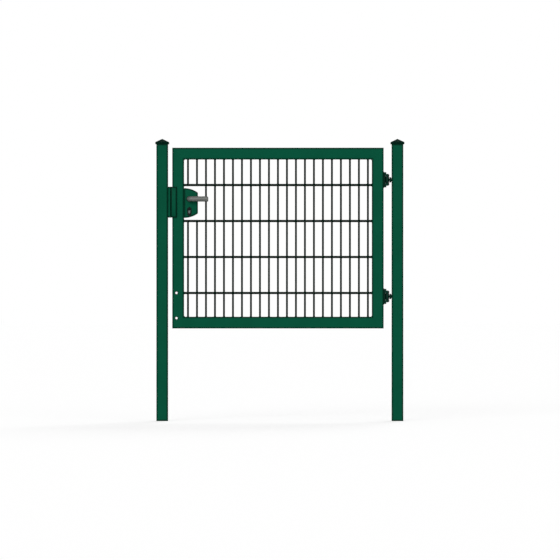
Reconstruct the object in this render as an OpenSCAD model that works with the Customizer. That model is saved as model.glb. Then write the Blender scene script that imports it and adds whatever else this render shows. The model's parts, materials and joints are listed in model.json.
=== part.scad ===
// Single-leaf tubular frame gate between two square posts.
//
// The frame's origin is the centre of the hinge post's foot. +X runs to the right along the
// gate, +Y goes through it and +Z is up. The latch post and the lock are on the left and the
// hinges on the right. The leaf opens backwards, away from the lip of the keep.

/* [Posts] */
// Side of a post's square tube
post_width = 64; // [50:1:80]
// Wall of a post's tube
post_wall = 2; // [1.5:0.5:4]
// Length of a post below the leaf's lower edge, most of which is set in the ground
post_below = 514; // [300:1:900]
// Length of a post above the leaf's upper edge
post_above = 20; // [10:1:60]
// How far a cap reaches past its post on each side
cap_overhang = 6; // [2:0.5:8]
// Height of a cap's upright rim
cap_rim = 11; // [5:1:14]
// Rise of a cap's four slopes above the rim
cap_rise = 19; // [8:1:26]

/* [Leaf] */
// Width of the leaf over its tubes
leaf_width = 1174; // [900:1:1500]
// Height of the leaf over its tubes
leaf_height = 1004; // [900:1:1200]
// Side of a frame tube that faces front and back
tube_face = 65; // [50:1:70]
// Side of a frame tube from front to back
tube_depth = 40; // [40:1:50]
// Wall of a frame tube
tube_wall = 2; // [1.5:0.5:3]
// Gap between the leaf and the latch post
latch_gap = 24; // [24:1:36]
// Room that the leaf keeps from the hinge post when it stands open
swing_clear = 5; // [5:1:15]

/* [Mesh] */
// Distance from one upright wire to the next
wire_pitch = 50; // [40:1:60]
// Distance from one row of cross wires to the next
row_pitch = 200; // [190:1:210]
// Diameter of the upright wires
wire_d = 11; // [5:0.5:12]
// Diameter of the cross wires, one in front of the uprights and one behind
cross_d = 13; // [6:0.5:14]

/* [Lock] */
// Height of the lock's middle above the leaf's lower edge
lock_height = 697; // [670:1:720]
// Width of the lock case
case_width = 77; // [72:1:84]
// Height of the lock case where it meets the stile
case_height = 165; // [150:1:168]
// Height of the case's straight free side
case_side = 116; // [104:1:120]
// Depth of the lock case from front to back
case_depth = 36; // [32:1:40]
// Distance of the spindle and the cylinder from the stile
backset = 30; // [25:1:32]
// Diameter of the lever handles
lever_d = 28; // [18:1:30]
// Length of a lever as seen from the front
lever_length = 118; // [100:1:130]
// Distance of a lever's middle line from the leaf's middle plane
lever_reach = 56; // [52:1:70]

/* [Hinges] */
// Height of a hinge's middle above the lower edge of the leaf, or below its upper edge
hinge_inset = 178; // [140:1:220]
// Distance of the hinge pin from the leaf's edge
pin_offset = 20; // [20:1:30]
// Diameter of the hinge pin
pin_d = 12; // [10:1:12]
// Radial clearance between the hinge pin and the eye that turns on it
pin_clearance = 0.08; // [0.04:0.01:0.1]
// Diameter of the threaded stud
stud_d = 16; // [14:1:16]

/* [Hidden] */
$fn = 64;
cut = 1;        // how far a cutting shape runs past what it cuts
snug = 0.05;    // clearance between fixed pieces that fit one another

// Colours
frame_green = [0.02, 0.31, 0.22];
dark_green = [0.05, 0.13, 0.11];
wire_green = [0.09, 0.19, 0.17];
lever_grey = [0.43, 0.45, 0.44];
bare_steel = [0.55, 0.56, 0.57];
black = [0.03, 0.05, 0.05];

// Places along the gate
hinge_gap = pin_offset + tube_depth / 2 + swing_clear;
post_height = post_below + leaf_height + post_above;
leaf_right = -post_width / 2 - hinge_gap;
leaf_left = leaf_right - leaf_width;
latch_post_x = leaf_left - latch_gap - post_width / 2;
latch_post_face = latch_post_x + post_width / 2;
leaf_bottom = post_below;
leaf_top = leaf_bottom + leaf_height;
opening_left = leaf_left + tube_face;
opening_right = leaf_right - tube_face;
lock_z = leaf_bottom + lock_height;
lower_hinge_z = leaf_bottom + hinge_inset;
upper_hinge_z = leaf_top - hinge_inset;

// Tubes
corner_r = 5;            // outer corner of every tube

// Cap
cap_wall = 3;
plug_depth = 20;
plug_gap = 0.3;

// Mesh
weld_sink = 0.3;         // how far the cross wires sink into the uprights at the welds
wire_sides = 8;
least_gap = 15;          // least room between the last upright wire and a stile
wire_count = floor((leaf_width - 2 * tube_face - 2 * least_gap) / wire_pitch) + 1;
first_wire = (leaf_width - 2 * tube_face - (wire_count - 1) * wire_pitch) / 2;
row_above = lock_z + row_pitch / 2;
row_below = lock_z - row_pitch / 2;
row_count = 4;

// Holes for a drop bolt, through the lock stile from front to back
drop_hole_d = 13.5;
drop_hole_x = leaf_left + 23;
drop_hole_low = leaf_bottom + 57.5;
drop_hole_spacing = 140;

// Lock
case_wall = 2.5;
case_corner = 5;
spindle_x = opening_left + backset;
spindle_z = lock_z + 22.5;
spindle_side = 8;
spindle_half = case_depth / 2 + 12;
journal_d = 18;
journal_gap = 0.08;
shoulder_gap = 0.5;
lever_bend = lever_d / 2 + 4;
lever_end_r = 4;
cylinder_z = lock_z - 34;
cylinder_d = 17;
cylinder_width = 10;
cylinder_height = 33;
cylinder_half = case_depth / 2 + 6;
escutcheon_d = 22;
escutcheon_height = 48;
escutcheon_thick = 4;
bolt_thick = 13;
latch_tall = 24;
latch_z = spindle_z;
dead_tall = 30;
dead_z = lock_z - 24;
forend_thick = 3;
forend_proud = 1;
forend_width = 22;
forend_height = 170;
forend_face = leaf_left - forend_proud;
bolt_gap = 0.5;

// Keep on the latch post
keep_clear = 5.5;        // between the stop angle and the lock's forend
keep_rise = 4.5;         // how far the keep's middle stands above the lock's
keep_height = 171;
keep_wall = 3;
keep_face = forend_face - keep_clear;                  // free face of the stop angle's leg
lip_gap = 5;             // between the leaf and the lip in front of it
keep_inset = 3;          // how far the keep ends in front of the leaf's back
keep_front = -tube_depth / 2 - lip_gap;
keep_back = tube_depth / 2 - keep_inset;
window_gap = 2.5;        // round each bolt in the keep's windows
lip_overlap = 26;
buffer_gap = 0.5;
buffer_d = 16;
buffer_rise = 60;

// Hinge, measured from the hinge stile towards the post
plate_thick = 7;
plate_width = 36;
plate_height = 84;
foot_thick = 8;
lug_r = 12;
lug_height = 66;
lug_corner = 9;
pin_x = leaf_right + pin_offset;
pin_recess = 2;
pin_length = lug_height - 2 * pin_recess;
eye_r = 11;
eye_height = 38;
eye_gap = 0.5;
slot_back = pin_offset - eye_r;
nut_flats = 26;
nut_thick = 11;
nut_gap = 0.5;
nut_start = pin_offset + lug_r + nut_gap;
nut_chamfer = 4;
nut_seat = 11;            // radius of the nut's end towards the post
bush_d = 22;
bush_length = 30;
stud_end = bush_length - 2;

// ---- shapes that repeat

// Rectangle with round corners, centred
module rounded_rect(w, d, r) {
  square([w - 2 * r, d], center = true);
  square([w, d - 2 * r], center = true);
  for (sx = [-1, 1], sy = [-1, 1])
    translate([sx * (w / 2 - r), sy * (d / 2 - r)]) circle(r);
}

// Cross-section of a rectangular tube
module tube_section(w, d, wall) {
  difference() {
    rounded_rect(w, d, corner_r);
    rounded_rect(w - 2 * wall, d - 2 * wall, corner_r - wall / 2);
  }
}

// Outline in the plane of the gate, made solid from front to back between two depths
module through(y0, y1) {
  translate([0, y1, 0]) rotate([90, 0, 0]) linear_extrude(y1 - y0) children();
}

// Round bar along +X that starts at the origin
module bar_x(d, length) {
  rotate([0, 90, 0]) cylinder(d = d, h = length);
}

// ---- posts

module post(x) {
  translate([x, 0, 0]) linear_extrude(post_height) tube_section(post_width, post_width, post_wall);
}

module latch_post() {
  color(frame_green) post(latch_post_x);
}

module hinge_post() {
  color(frame_green) difference() {
    post(0);
    for (z = [lower_hinge_z, upper_hinge_z])
      translate([-post_width / 2 - cut, 0, z]) bar_x(bush_d + 2 * snug, post_wall + 2 * cut);
  }
}

// Solid with an upright rim and four slopes that meet in a point
module pyramid(w, rim, rise) {
  side = [[-w / 2, 0], [w / 2, 0], [w / 2, rim], [0, rim + rise], [-w / 2, rim]];
  intersection() {
    rotate([90, 0, 0]) linear_extrude(w, center = true) polygon(side);
    rotate([90, 0, 90]) linear_extrude(w, center = true) polygon(side);
  }
}

// Hollow plastic cap that rests on a post's end and plugs into the tube
module post_cap(x) {
  inside = post_width - 2 * post_wall - 2 * plug_gap;
  hollow = inside - 2 * cap_wall;
  slope = cap_rise / (post_width / 2 + cap_overhang);
  color(dark_green) translate([x, 0, post_height]) difference() {
    union() {
      pyramid(post_width + 2 * cap_overhang, cap_rim, cap_rise);
      translate([0, 0, -plug_depth]) linear_extrude(plug_depth) rounded_rect(inside, inside, corner_r);
    }
    pyramid(hollow, cap_rim - cap_wall, slope * hollow / 2);
    translate([0, 0, -plug_depth / 2]) cube([hollow, hollow, plug_depth + cut], center = true);
  }
}

// ---- keep

// Windows for the latch bolt and the dead bolt, through what stands between two places along X
module keep_windows(x0, x1) {
  for (bolt = [[latch_z, latch_tall], [dead_z, dead_tall]])
    translate([(x0 + x1) / 2, 0, bolt[0]])
      cube([x1 - x0 + 2 * cut, bolt_thick + 2 * window_gap, bolt[1] + 2 * window_gap], center = true);
}

// Plate or block of the keep's full height
module keep_block(x0, x1, y0, y1, height) {
  translate([x0, y0, lock_z + keep_rise - height / 2]) cube([x1 - x0, y1 - y0, height]);
}

// Folded channel that stands on the latch post, open towards the post
module keep_channel() {
  back = keep_face - keep_wall;
  color(frame_green) difference() {
    keep_block(latch_post_face, back, keep_front, keep_back, keep_height);
    keep_block(latch_post_face - cut, back - keep_wall, keep_front + keep_wall, keep_back - keep_wall,
               keep_height - 2 * keep_wall);
    keep_windows(back - keep_wall, back);
  }
}

// Angle on the channel, with a lip in front of the lock stile that stops the leaf
module stop_angle() {
  back = keep_face - keep_wall;
  color(frame_green) difference() {
    union() {
      keep_block(back, keep_face, keep_front, keep_back, keep_height);
      keep_block(back, leaf_left + lip_overlap, keep_front - keep_wall, keep_front, keep_height);
    }
    keep_windows(back, keep_face);
  }
}

// Rubber pads on the lip's inner face
module stop_buffers() {
  length = -tube_depth / 2 - buffer_gap - keep_front;
  color(black) for (side = [-1, 1])
    translate([leaf_left + lip_overlap / 2, keep_front, lock_z + side * buffer_rise])
      rotate([-90, 0, 0]) cylinder(d = buffer_d, h = length);
}

// ---- leaf frame

// Upright tube with both ends mitred; toward is 1 where the opening is on its right
module stile(x, toward) {
  long_side = -toward * tube_face / 2;
  short_side = toward * tube_face / 2;
  translate([x, 0, leaf_bottom]) intersection() {
    linear_extrude(leaf_height) tube_section(tube_face, tube_depth, tube_wall);
    through(-tube_depth, tube_depth) polygon([
      [long_side, 0], [short_side, tube_face],
      [short_side, leaf_height - tube_face], [long_side, leaf_height]
    ]);
  }
}

// Level tube with both ends mitred; toward is 1 where the opening is above it
module rail(z, toward) {
  long_side = -toward * tube_face / 2;
  short_side = toward * tube_face / 2;
  translate([leaf_left, 0, z]) intersection() {
    rotate([90, 0, 90]) linear_extrude(leaf_width) tube_section(tube_depth, tube_face, tube_wall);
    through(-tube_depth, tube_depth) polygon([
      [0, long_side], [tube_face, short_side],
      [leaf_width - tube_face, short_side], [leaf_width, long_side]
    ]);
  }
}

module lock_stile() {
  color(frame_green) difference() {
    stile(leaf_left + tube_face / 2, 1);
    for (z = [drop_hole_low, drop_hole_low + drop_hole_spacing])
      translate([drop_hole_x, tube_depth, z]) rotate([90, 0, 0]) cylinder(d = drop_hole_d, h = 2 * tube_depth);
    translate([leaf_left, 0, lock_z])
      cube([2 * tube_wall, forend_width, forend_height], center = true);
    for (bolt = [[latch_z, latch_tall], [dead_z, dead_tall]])
      translate([opening_left, 0, bolt[0]])
        cube([3 * tube_wall, bolt_thick + 2 * bolt_gap, bolt[1] + 2 * bolt_gap], center = true);
  }
}

module hinge_stile() {
  color(frame_green) stile(leaf_right - tube_face / 2, -1);
}

module top_rail() {
  color(frame_green) rail(leaf_top - tube_face / 2, -1);
}

module bottom_rail() {
  color(frame_green) rail(leaf_bottom + tube_face / 2, 1);
}

// ---- mesh

// Wire of few sides, as thick as it is wide, that stands up from the origin
module wire(d, length) {
  rotate([0, 0, 180 / wire_sides]) cylinder(d = d / cos(180 / wire_sides), h = length, $fn = wire_sides);
}

// Double-wire mat in the frame, with a bay at the lock that its first wires leave open
module mesh_panel() {
  low = leaf_bottom + tube_face;
  high = leaf_top - tube_face;
  color(wire_green) union() {
    for (i = [0 : wire_count - 1]) {
      x = opening_left + first_wire + i * wire_pitch;
      if (x < opening_left + case_width + wire_d) {
        translate([x, 0, low]) wire(wire_d, row_below + cross_d / 2 - low);
        translate([x, 0, row_above - cross_d / 2]) wire(wire_d, high - row_above + cross_d / 2);
      } else {
        translate([x, 0, low]) wire(wire_d, high - low);
      }
    }
    for (k = [0 : row_count - 1], side = [-1, 1])
      translate([opening_left, side * ((wire_d + cross_d) / 2 - weld_sink), row_above - k * row_pitch])
        rotate([0, 90, 0]) wire(cross_d, opening_right - opening_left);
  }
}

// ---- lock

// Outline of the lock case in the plane of the gate, drawn about the middle of its stile side.
// Two arcs leave the stile at right angles and meet the straight free side at round corners.
module case_outline(w, h, side, corner) {
  drop = (h - side) / 2;
  arc_r = (w * w + drop * drop) / (2 * drop);
  corner_x = w - corner;
  corner_z = h / 2 - arc_r + sqrt(pow(arc_r - corner, 2) - corner_x * corner_x);
  tilt = atan2(corner_z - h / 2 + arc_r, corner_x);
  difference() {
    intersection() {
      translate([0, -h / 2]) square([w, h]);
      translate([0, h / 2 - arc_r]) circle(arc_r, $fn = 240);
      translate([0, arc_r - h / 2]) circle(arc_r, $fn = 240);
    }
    for (s = [-1, 1]) polygon([
      [corner_x, s * corner_z],
      [corner_x + 2 * corner * cos(tilt), s * (corner_z + 2 * corner * sin(tilt))],
      [w + 2 * corner, s * (corner_z + 2 * corner)],
      [w + 2 * corner, s * corner_z]
    ]);
  }
  for (s = [-1, 1]) translate([corner_x, s * corner_z]) circle(corner);
}

// Outline of a profile cylinder about the middle of its round part
module cylinder_outline(gap = 0) {
  circle(d = cylinder_d + 2 * gap);
  tongue = cylinder_height - cylinder_d / 2;
  translate([0, -tongue + cylinder_width / 2]) circle(d = cylinder_width + 2 * gap);
  translate([-cylinder_width / 2 - gap, -tongue + cylinder_width / 2])
    square([cylinder_width + 2 * gap, tongue - cylinder_width / 2]);
}

// Hollow case that stands on the stile, open towards it
module lock_case() {
  half = case_depth / 2;
  color(frame_green) difference() {
    translate([opening_left, 0, lock_z]) through(-half, half)
      case_outline(case_width, case_height, case_side, case_corner);
    translate([opening_left - cut, 0, lock_z]) through(case_wall - half, half - case_wall)
      case_outline(case_width - case_wall + cut, case_height - 2 * case_wall,
                   case_side - 2 * case_wall, case_corner - case_wall);
    translate([spindle_x, half + cut, spindle_z]) rotate([90, 0, 0])
      cylinder(d = journal_d + 2 * journal_gap, h = case_depth + 2 * cut);
    translate([spindle_x, 0, cylinder_z]) through(-half - cut, half + cut) cylinder_outline(snug);
  }
}

// Plate in the stile's outer wall that the bolts come out of
module lock_forend() {
  color(bare_steel) difference() {
    translate([forend_face, -forend_width / 2, lock_z - forend_height / 2])
      cube([forend_thick, forend_width, forend_height]);
    for (bolt = [[latch_z, latch_tall], [dead_z, dead_tall]])
      translate([leaf_left, 0, bolt[0]])
        cube([2 * forend_thick + 2 * cut, bolt_thick + 2 * bolt_gap, bolt[1] + 2 * bolt_gap], center = true);
  }
}

// Bolt between the forend and the inside of the case
module lock_bolt(z, tall, length) {
  translate([forend_face, -bolt_thick / 2, z - tall / 2]) cube([length, bolt_thick, tall]);
}

module latch_bolt() {
  color(bare_steel) lock_bolt(latch_z, latch_tall, tube_face + backset / 2);
}

module dead_bolt() {
  color(bare_steel) lock_bolt(dead_z, dead_tall, tube_face + backset / 2);
}

module lock_cylinder() {
  color(bare_steel) translate([spindle_x, 0, cylinder_z]) through(-cylinder_half, cylinder_half)
    cylinder_outline();
}

// Oval plate around the cylinder; side is -1 in front and 1 behind
module escutcheon(side) {
  near = side * case_depth / 2;
  far = near + side * escutcheon_thick;
  run = escutcheon_height - escutcheon_d;
  color(black) translate([spindle_x, 0, cylinder_z]) through(min(near, far), max(near, far)) difference() {
    union() {
      circle(d = escutcheon_d);
      translate([0, -run]) circle(d = escutcheon_d);
      translate([-escutcheon_d / 2, -run]) square([escutcheon_d, run]);
    }
    cylinder_outline(snug);
  }
}

// Round bar with a rounded free end, from the origin up
module lever_bar(length) {
  r = lever_d / 2;
  rotate_extrude() {
    square([r, length - lever_end_r]);
    square([r - lever_end_r, length]);
    translate([r - lever_end_r, length - lever_end_r]) intersection() {
      circle(lever_end_r);
      square(lever_end_r);
    }
  }
}

// Lever handle in front of the leaf, on the end of the spindle
module handle() {
  half = case_depth / 2;
  straight = lever_length - lever_d / 2 - lever_bend;
  translate([spindle_x, 0, spindle_z]) difference() {
    union() {
      translate([0, -half - shoulder_gap, 0]) rotate([90, 0, 0])
        cylinder(d = lever_d, h = lever_reach - lever_bend - half - shoulder_gap);
      translate([0, case_wall + cut - half, 0]) rotate([90, 0, 0])
        cylinder(d = journal_d, h = case_wall + cut + shoulder_gap + cut);
      translate([lever_bend, lever_bend - lever_reach, 0]) rotate([0, 0, 180])
        rotate_extrude(angle = 90) translate([lever_bend, 0]) circle(d = lever_d);
      translate([lever_bend, -lever_reach, 0]) rotate([0, 90, 0]) lever_bar(straight);
    }
    cube([spindle_side, 2 * spindle_half, spindle_side], center = true);
  }
}

module front_handle() {
  color(lever_grey) handle();
}

module back_handle() {
  color(lever_grey) mirror([0, 1, 0]) handle();
}

// Square bar that carries both handles
module spindle() {
  color(bare_steel) translate([spindle_x, 0, spindle_z])
    cube([spindle_side, 2 * spindle_half, spindle_side], center = true);
}

// ---- hinges

// Flat plate on the hinge stile
module hinge_plate(z) {
  color(dark_green) translate([leaf_right, -plate_width / 2, z - plate_height / 2])
    cube([plate_thick, plate_width, plate_height]);
}

// Foot and two lugs that hold the pin, with a slot between them in which the eye swings
module hinge_bracket(z) {
  reach = pin_offset + lug_r;
  flat = lug_height / 2 - lug_corner;
  slot = eye_height + 2 * eye_gap;
  color(dark_green) translate([leaf_right, 0, z]) difference() {
    union() {
      translate([plate_thick, -lug_r, -plate_height / 2]) cube([foot_thick, 2 * lug_r, plate_height]);
      intersection() {
        through(-lug_r, lug_r) {
          translate([plate_thick, -lug_height / 2]) square([reach - lug_corner - plate_thick, lug_height]);
          translate([plate_thick, -flat]) square([reach - plate_thick, 2 * flat]);
          for (s = [-1, 1]) translate([reach - lug_corner, s * flat]) circle(lug_corner);
        }
        translate([0, 0, -lug_height / 2]) linear_extrude(lug_height) {
          translate([plate_thick, -lug_r]) square([pin_offset - plate_thick, 2 * lug_r]);
          translate([pin_offset, 0]) circle(lug_r);
        }
      }
    }
    translate([slot_back, -lug_r - cut, -slot / 2]) cube([reach, 2 * (lug_r + cut), slot]);
    translate([pin_offset, 0, -slot / 2]) cylinder(r = eye_r + eye_gap, h = slot);
    translate([pin_offset, 0, -lug_height / 2 - cut]) cylinder(d = pin_d + 2 * snug, h = lug_height + 2 * cut);
  }
}

module hinge_pin(z) {
  color(bare_steel) translate([pin_x, 0, z - pin_length / 2]) cylinder(d = pin_d, h = pin_length);
}

// Eye on the pin, with a threaded stud that runs into the post
module eye_bolt(z) {
  color(dark_green) translate([pin_x, 0, z]) difference() {
    union() {
      translate([0, 0, -eye_height / 2]) cylinder(r = eye_r, h = eye_height);
      bar_x(stud_d, hinge_gap - pin_offset + stud_end);
    }
    translate([0, 0, -eye_height / 2 - cut]) cylinder(d = pin_d + 2 * pin_clearance, h = eye_height + 2 * cut);
  }
}

// Six-sided nut on the stud, with its chamfer towards the post
module lock_nut(z) {
  corner = nut_flats / 2 / cos(30);
  color(dark_green) translate([leaf_right + nut_start, 0, z]) rotate([0, 90, 0]) difference() {
    intersection() {
      cylinder(r = corner, h = nut_thick, $fn = 6);
      union() {
        cylinder(r = corner + cut, h = nut_thick - nut_chamfer);
        translate([0, 0, nut_thick - nut_chamfer])
          cylinder(r1 = corner + snug, r2 = nut_seat, h = nut_chamfer);
      }
    }
    translate([0, 0, -cut]) cylinder(d = stud_d + 2 * snug, h = nut_thick + 2 * cut);
  }
}

// Threaded bush in the post's inner wall
module post_bush(z) {
  color(frame_green) translate([-post_width / 2, 0, z]) difference() {
    bar_x(bush_d, bush_length);
    translate([-cut, 0, 0]) bar_x(stud_d + 2 * snug, bush_length + 2 * cut);
  }
}

// ---- assembly

latch_post();
hinge_post();
post_cap(latch_post_x);  // latch_post_cap
post_cap(0);  // hinge_post_cap
keep_channel();
stop_angle();
stop_buffers();
eye_bolt(lower_hinge_z);  // lower_eye_bolt
eye_bolt(upper_hinge_z);  // upper_eye_bolt
lock_nut(lower_hinge_z);  // lower_lock_nut
lock_nut(upper_hinge_z);  // upper_lock_nut
post_bush(lower_hinge_z);  // lower_post_bush
post_bush(upper_hinge_z);  // upper_post_bush
lock_stile();
hinge_stile();
top_rail();
bottom_rail();
mesh_panel();
lock_case();
lock_forend();
latch_bolt();
dead_bolt();
lock_cylinder();
escutcheon(-1);  // front_escutcheon
escutcheon(1);  // back_escutcheon
hinge_plate(lower_hinge_z);  // lower_hinge_plate
hinge_plate(upper_hinge_z);  // upper_hinge_plate
hinge_bracket(lower_hinge_z);  // lower_hinge_bracket
hinge_bracket(upper_hinge_z);  // upper_hinge_bracket
hinge_pin(lower_hinge_z);  // lower_hinge_pin
hinge_pin(upper_hinge_z);  // upper_hinge_pin
front_handle();
back_handle();
spindle();
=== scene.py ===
"""Finish of a tubular frame gate: its coats, wires, welds, lock, keep and hinges, and the studio round it."""

import json
import math

import bmesh
import bpy
from mathutils import Matrix, Vector


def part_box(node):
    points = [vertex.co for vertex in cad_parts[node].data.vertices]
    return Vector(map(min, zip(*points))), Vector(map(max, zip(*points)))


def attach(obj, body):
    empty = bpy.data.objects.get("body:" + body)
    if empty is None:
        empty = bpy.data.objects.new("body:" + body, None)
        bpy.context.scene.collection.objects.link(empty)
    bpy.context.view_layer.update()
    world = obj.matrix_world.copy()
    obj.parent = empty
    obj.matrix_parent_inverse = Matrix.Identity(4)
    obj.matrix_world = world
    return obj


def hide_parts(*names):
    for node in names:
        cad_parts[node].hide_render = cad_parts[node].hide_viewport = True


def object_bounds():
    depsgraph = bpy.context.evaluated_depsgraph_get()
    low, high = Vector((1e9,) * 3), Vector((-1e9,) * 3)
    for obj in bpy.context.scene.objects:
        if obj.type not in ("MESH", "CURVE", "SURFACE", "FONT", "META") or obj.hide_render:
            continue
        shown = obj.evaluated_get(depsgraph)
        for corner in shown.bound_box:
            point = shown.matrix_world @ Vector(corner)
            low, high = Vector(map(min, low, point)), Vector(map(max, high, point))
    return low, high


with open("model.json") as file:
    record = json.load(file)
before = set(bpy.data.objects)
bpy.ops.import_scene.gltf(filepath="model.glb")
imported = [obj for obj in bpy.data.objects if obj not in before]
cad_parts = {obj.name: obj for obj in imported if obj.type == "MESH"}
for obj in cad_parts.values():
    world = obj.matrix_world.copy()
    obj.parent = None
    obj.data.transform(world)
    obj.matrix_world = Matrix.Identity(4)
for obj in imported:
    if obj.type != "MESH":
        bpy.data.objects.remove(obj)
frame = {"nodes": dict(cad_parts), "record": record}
cad_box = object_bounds()

X, Y, Z = Vector((1, 0, 0)), Vector((0, 1, 0)), Vector((0, 0, 1))
TINY = 1e-6              # corners closer than this are one
FLAT_ANGLE = 1           # degrees up to which neighbouring faces are one flat
SHARP_ANGLE = 30         # degrees past which an edge is rounded
SMOOTH_ANGLE = 32        # degrees up to which two faces shade as one surface


# ---------------------------------------------------------------- pieces

def span(*nodes):
    """Lowest and highest corner of one or more CAD nodes."""
    lows, highs = zip(*(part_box(node) for node in nodes))
    return (Vector([min(low[i] for low in lows) for i in range(3)]),
            Vector([max(high[i] for high in highs) for i in range(3)]))


def middle(*nodes):
    low, high = span(*nodes)
    return (low + high) / 2


def shade_band(corners, width, left=0.0, right=0.0, ends=0.0):
    """Rectangle along whose outline painted shade runs, and the shade's width, with its sides moved out by
    the given distances.
    """
    low, high = corners
    return low - X * left - Z * ends, high + X * right + Z * ends, width


def piece(bm, name, body, material, replaced=(), crease=SMOOTH_ANGLE):
    """Makes an object of a finished bmesh and lets it ride on a body."""
    bmesh.ops.remove_doubles(bm, verts=bm.verts, dist=TINY)
    bmesh.ops.recalc_face_normals(bm, faces=bm.faces)
    for edge in bm.edges:
        edge.smooth = edge.calc_face_angle(0) < math.radians(crease)
    for face in bm.faces:
        face.smooth = True
    mesh = bpy.data.meshes.new(name)
    bm.to_mesh(mesh)
    bm.free()
    mesh.materials.append(material)
    made = bpy.data.objects.new(name, mesh)
    bpy.context.scene.collection.objects.link(made)
    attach(made, body)
    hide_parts(*replaced)
    return made


def round_edges(bm, width, segments=3, chosen=None, crease=SHARP_ANGLE):
    """Rounds the sharp edges of a bmesh, or those of them that chosen accepts."""
    sharp = [edge for edge in bm.edges
             if edge.calc_face_angle(0) > math.radians(crease) and (chosen is None or chosen(edge))]
    bmesh.ops.bevel(bm, geom=sharp, offset=width, offset_type="OFFSET", segments=segments,
                    profile=0.5, affect="EDGES", material=-1, clamp_overlap=True)


def clear_of(x):
    """Test for edges that reach further right than x: those that lie on a tube's side there stay sharp."""
    return lambda edge: max(v.co.x for v in edge.verts) > x + TINY


def verts_of(geom):
    return [part for part in geom if isinstance(part, bmesh.types.BMVert)]


def edges_of(geom):
    return [part for part in geom if isinstance(part, bmesh.types.BMEdge)]


def softened(node, width, segments=2, first=None, first_width=0):
    """Copy of a CAD node with its sharp edges rounded, those that first accepts by more."""
    bm = bmesh.new()
    bm.from_mesh(frame["nodes"][node].data)
    bmesh.ops.remove_doubles(bm, verts=bm.verts, dist=TINY)
    bmesh.ops.dissolve_limit(bm, angle_limit=math.radians(FLAT_ANGLE), verts=bm.verts,
                             edges=bm.edges)
    if first:
        round_edges(bm, first_width, segments=5, chosen=first)
    round_edges(bm, width, segments)
    return bm


def add_rod(bm, start, end, radius, sides, end_radius=None):
    """Round bar from one point to another."""
    start, end = Vector(start), Vector(end)
    way = end - start
    place = Matrix.Translation((start + end) / 2) @ way.to_track_quat("Z", "Y").to_matrix().to_4x4()
    end_radius = radius if end_radius is None else end_radius
    bmesh.ops.create_cone(bm, cap_ends=True, cap_tris=False, segments=sides, radius1=radius,
                          radius2=end_radius, depth=way.length, matrix=place)


def add_box(bm, low, high):
    low, high = Vector(low), Vector(high)
    place = Matrix.Translation((low + high) / 2) @ Matrix.Diagonal((*(high - low), 1))
    bmesh.ops.create_cube(bm, size=1, matrix=place)


def add_blob(bm, centre, radii, sides=8, rings=6, tilt=0.0):
    """Stretched ball, such as a weld spot or a seam, tilted from upright towards +X."""
    place = Matrix.Translation(centre) @ Matrix.Rotation(tilt, 4, "Y") @ Matrix.Diagonal((*radii, 1))
    bmesh.ops.create_uvsphere(bm, u_segments=sides, v_segments=rings, radius=1, matrix=place)


def add_turned(bm, profile, foot, axis, sides=32):
    """Turned shape: profile gives (distance along the axis from foot, radius) from one end to the other."""
    axis = axis.normalized()
    across = axis.orthogonal().normalized()
    verts = [bm.verts.new(foot + axis * along + across * radius) for along, radius in profile]
    edges = [bm.edges.new(pair) for pair in zip(verts, verts[1:])]
    bmesh.ops.spin(bm, geom=verts + edges, cent=foot, axis=axis, dvec=(0, 0, 0), angle=math.tau,
                   steps=sides, use_merge=True, use_duplicate=False)
    bmesh.ops.remove_doubles(bm, verts=bm.verts, dist=TINY)


# ---------------------------------------------------------------- effects

SHADE_WIDTH = 0.010                   # width over which painted shade along an outline fades
SHADE_FULL = 0.5                # nearness to the outline from which the painted shade is at its darkest
SIDE_FACING = (0.03, 0.2)      # facing between which a side face turns into the front or back
FLAT_FACING = (0.995, 0.95)    # facing between which a flat front turns into its rounded edge
GRAIN_SHARE = 0.25             # share of the fine grain in the height of a coat's skin


def colour(red, green, blue):
    """Scene colour of a screen colour, whose parts go from 0 to 255."""
    def straight(value):
        value /= 255
        return value / 12.92 if value <= 0.04045 else ((value + 0.055) / 1.055) ** 2.4
    return (straight(red), straight(green), straight(blue), 1)


def put(tree, kind, values=None, links=None, **settings):
    """Adds a node, sets its properties and sockets, and joins others to it."""
    made = tree.nodes.new(kind)
    for key, value in settings.items():
        setattr(made, key, value)
    for socket, value in (values or {}).items():
        made.inputs[socket].default_value = value
    for socket, source in (links or {}).items():
        tree.links.new(source, made.inputs[socket])
    return made


def noise(tree, coordinates, scale, detail=2, rough=0.5):
    made = put(tree, "ShaderNodeTexNoise", {"Scale": scale, "Detail": detail, "Roughness": rough},
               {"Vector": coordinates})
    return made.outputs["Fac"]


def reach(tree, value, low, high, to_low=0.0, to_high=1.0):
    """Value stretched from one range to another, and held within it."""
    made = put(tree, "ShaderNodeMapRange",
               {"From Min": low, "From Max": high, "To Min": to_low, "To Max": to_high}, {"Value": value})
    return made.outputs["Result"]


def reckon(tree, operation, first, second):
    """Math node on two values, each a socket or a number."""
    made = tree.nodes.new("ShaderNodeMath")
    made.operation = operation
    for socket, value in zip(made.inputs, (first, second)):
        if isinstance(value, (int, float)):
            socket.default_value = value
        else:
            tree.links.new(value, socket)
    return made.outputs[0]


def blend_colours(tree, factor, first, second):
    """Colour between two others, each a socket or a colour."""
    made = put(tree, "ShaderNodeMix", {}, {0: factor}, data_type="RGBA")
    for index, value in ((6, first), (7, second)):
        if isinstance(value, tuple):
            made.inputs[index].default_value = value
        else:
            tree.links.new(value, made.inputs[index])
    return made.outputs[2]


def effect(name, inputs, outputs):
    """Starts a shader node group with float inputs, given as (name, default), and float outputs."""
    group = bpy.data.node_groups.new(name, "ShaderNodeTree")
    for label, default in inputs:
        socket = group.interface.new_socket(label, in_out="INPUT", socket_type="NodeSocketFloat")
        socket.default_value = default
    for label in outputs:
        group.interface.new_socket(label, in_out="OUTPUT", socket_type="NodeSocketFloat")
    start = group.nodes.new("NodeGroupInput")
    end = group.nodes.new("NodeGroupOutput")
    return group, start.outputs, end.inputs


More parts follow.
